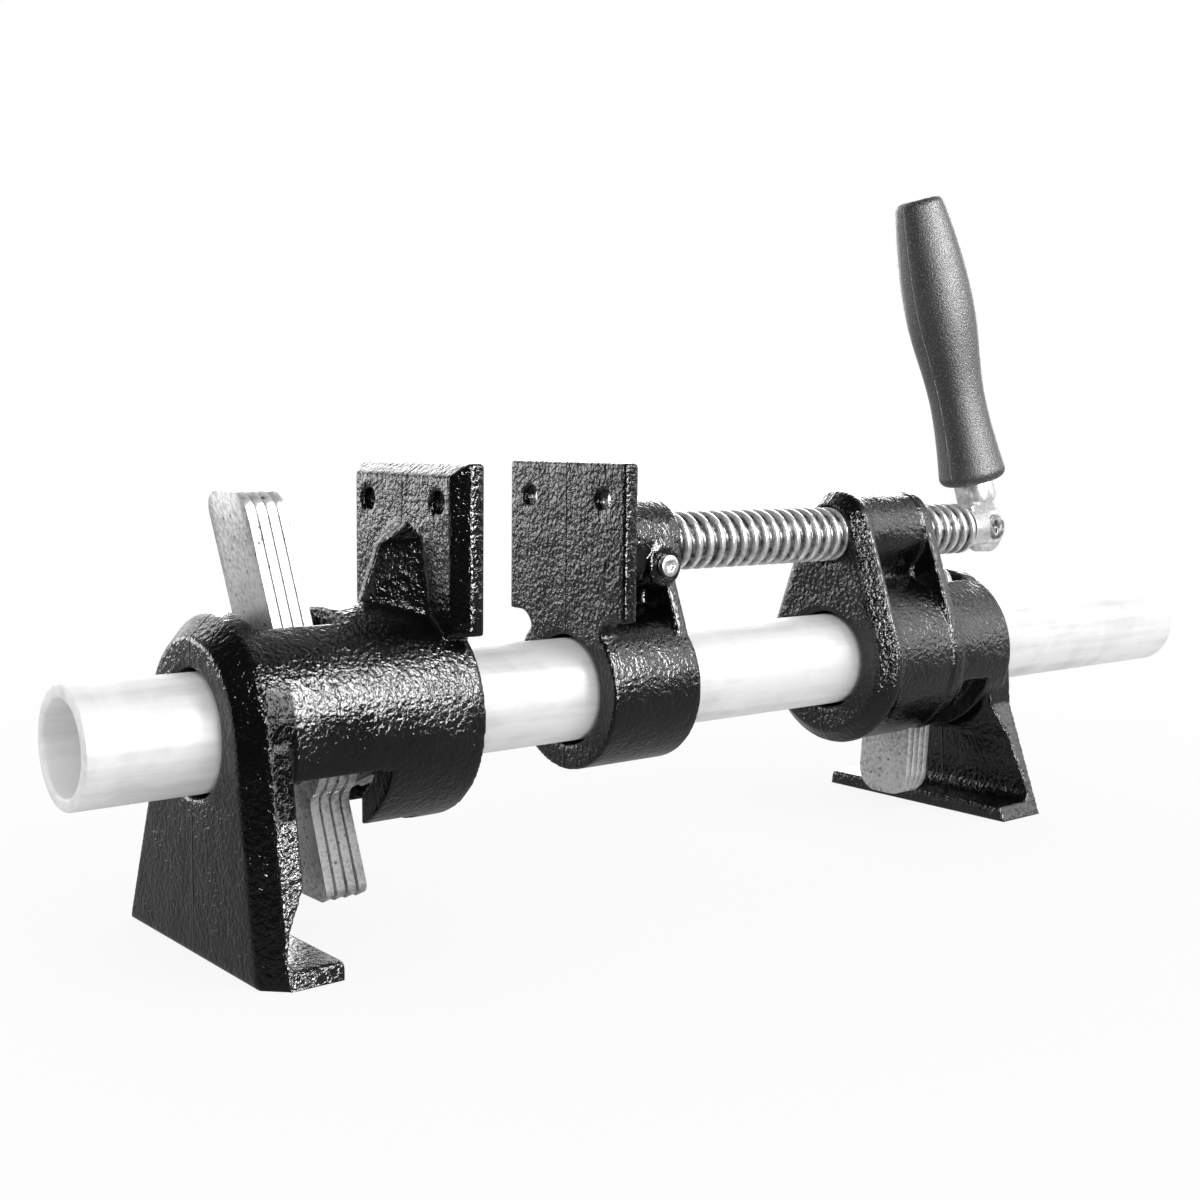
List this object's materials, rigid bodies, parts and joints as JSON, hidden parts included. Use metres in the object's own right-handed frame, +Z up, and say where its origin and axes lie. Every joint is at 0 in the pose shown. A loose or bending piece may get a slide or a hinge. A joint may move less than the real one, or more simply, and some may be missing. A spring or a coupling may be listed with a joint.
{
  "type": "pipe clamp",
  "caption": "Woodworking clamp: a cast tail head and a cast screw head with leaning clutch plates on a bright steel pipe, with a threaded spindle, a sliding jaw and a folding handle.",
  "frame": {"origin": "on the bench plane, under the middle of the pipe", "axes": "+X along the pipe from the tail head towards the handle, +Z up"},
  "size_m": [0.4, 0.0696, 0.1912],
  "materials": {
    "bright_zinc": "bright zinc-plated tube, light drawing marks",
    "zinc_plates": "zinc-plated stampings with sheared edges",
    "zinc_spindle": "zinc-plated turned steel",
    "black_enamel": "black semi-gloss enamel over rough cast iron",
    "zinc_screws": "zinc-plated screws",
    "spring_steel": "drawn spring wire",
    "grip_plastic": "dark grey plastic with a fine grain"
  },
  "bodies": {
    "pipe": {"pipe": "bright_zinc"},
    "tail_head": {"tail_head": "black_enamel", "tail_spring": "spring_steel"},
    "tail_clutch_1": {"tail_clutch_plate_1": "zinc_plates"},
    "tail_clutch_2": {"tail_clutch_plate_2": "zinc_plates"},
    "tail_clutch_3": {"tail_clutch_plate_3": "zinc_plates"},
    "tail_clutch_4": {"tail_clutch_plate_4": "zinc_plates"},
    "screw_head": {"screw_head": "black_enamel", "head_spring": "spring_steel"},
    "head_clutch_1": {"head_clutch_plate_1": "zinc_plates"},
    "head_clutch_2": {"head_clutch_plate_2": "zinc_plates"},
    "head_clutch_3": {"head_clutch_plate_3": "zinc_plates"},
    "head_clutch_4": {"head_clutch_plate_4": "zinc_plates"},
    "sliding_jaw": {"sliding_jaw": "black_enamel", "retaining_screw": "zinc_screws"},
    "spindle": {"spindle": "zinc_spindle", "handle_pivot_screw": "zinc_screws"},
    "handle": {"handle_shank": "zinc_spindle", "handle_grip": "grip_plastic"}
  },
  "joints": [
    {"name": "tail_slide", "type": "slide", "parent": "pipe", "child": "tail_head", "axis": [1, 0, 0], "range_m": [-0.028, 0.04]},
    {"name": "screw_head_slide", "type": "slide", "parent": "pipe", "child": "screw_head", "axis": [1, 0, 0], "range_m": [0, 0.1]},
    {"name": "tail_clutch_release_1", "type": "hinge", "parent": "tail_head", "child": "tail_clutch_1", "pos_m": [-0.1498, 0, 0.0495], "axis": [0, 1, 0], "range_deg": [0, 13], "stiffness_Nm_per_rad": 0.4, "springref_deg": -20.05},
    {"name": "tail_clutch_release_2", "type": "hinge", "parent": "tail_head", "child": "tail_clutch_2", "pos_m": [-0.1472, 0, 0.0495], "axis": [0, 1, 0], "range_deg": [0, 13]},
    {"name": "tail_clutch_release_3", "type": "hinge", "parent": "tail_head", "child": "tail_clutch_3", "pos_m": [-0.1446, 0, 0.0495], "axis": [0, 1, 0], "range_deg": [0, 13]},
    {"name": "tail_clutch_release_4", "type": "hinge", "parent": "tail_head", "child": "tail_clutch_4", "pos_m": [-0.142, 0, 0.0495], "axis": [0, 1, 0], "range_deg": [0, 13]},
    {"name": "head_clutch_release_1", "type": "hinge", "parent": "screw_head", "child": "head_clutch_1", "pos_m": [0.0734, 0, 0.0495], "axis": [0, -1, 0], "range_deg": [0, 13], "stiffness_Nm_per_rad": 0.4, "springref_deg": -20.05},
    {"name": "head_clutch_release_2", "type": "hinge", "parent": "screw_head", "child": "head_clutch_2", "pos_m": [0.0709, 0, 0.0495], "axis": [0, -1, 0], "range_deg": [0, 13]},
    {"name": "head_clutch_release_3", "type": "hinge", "parent": "screw_head", "child": "head_clutch_3", "pos_m": [0.0684, 0, 0.0495], "axis": [0, -1, 0], "range_deg": [0, 13]},
    {"name": "head_clutch_release_4", "type": "hinge", "parent": "screw_head", "child": "head_clutch_4", "pos_m": [0.0659, 0, 0.0495], "axis": [0, -1, 0], "range_deg": [0, 13]},
    {"name": "jaw_travel", "type": "slide", "parent": "screw_head", "child": "sliding_jaw", "axis": [1, 0, 0], "range_m": [-0.019, 0.06]},
    {"name": "spindle_turn", "type": "hinge", "parent": "sliding_jaw", "child": "spindle", "pos_m": [-0.0385, 0, 0.0868], "axis": [1, 0, 0], "range_deg": [-100, 100]},
    {"name": "handle_fold", "type": "hinge", "parent": "spindle", "child": "handle", "pos_m": [0.10552, 0, 0.0868], "axis": [0, 0.9967, -0.0811], "range_deg": [0, 105]}
  ],
  "couplings": [
    {"joint": "tail_clutch_release_2", "follows": "tail_clutch_release_1", "ratio": 1},
    {"joint": "tail_clutch_release_3", "follows": "tail_clutch_release_1", "ratio": 1},
    {"joint": "tail_clutch_release_4", "follows": "tail_clutch_release_1", "ratio": 1},
    {"joint": "head_clutch_release_2", "follows": "head_clutch_release_1", "ratio": 1},
    {"joint": "head_clutch_release_3", "follows": "head_clutch_release_1", "ratio": 1},
    {"joint": "head_clutch_release_4", "follows": "head_clutch_release_1", "ratio": 1},
    {"joint": "jaw_travel", "follows": "spindle_turn", "m_per_rad": 0.0006737}
  ]
}
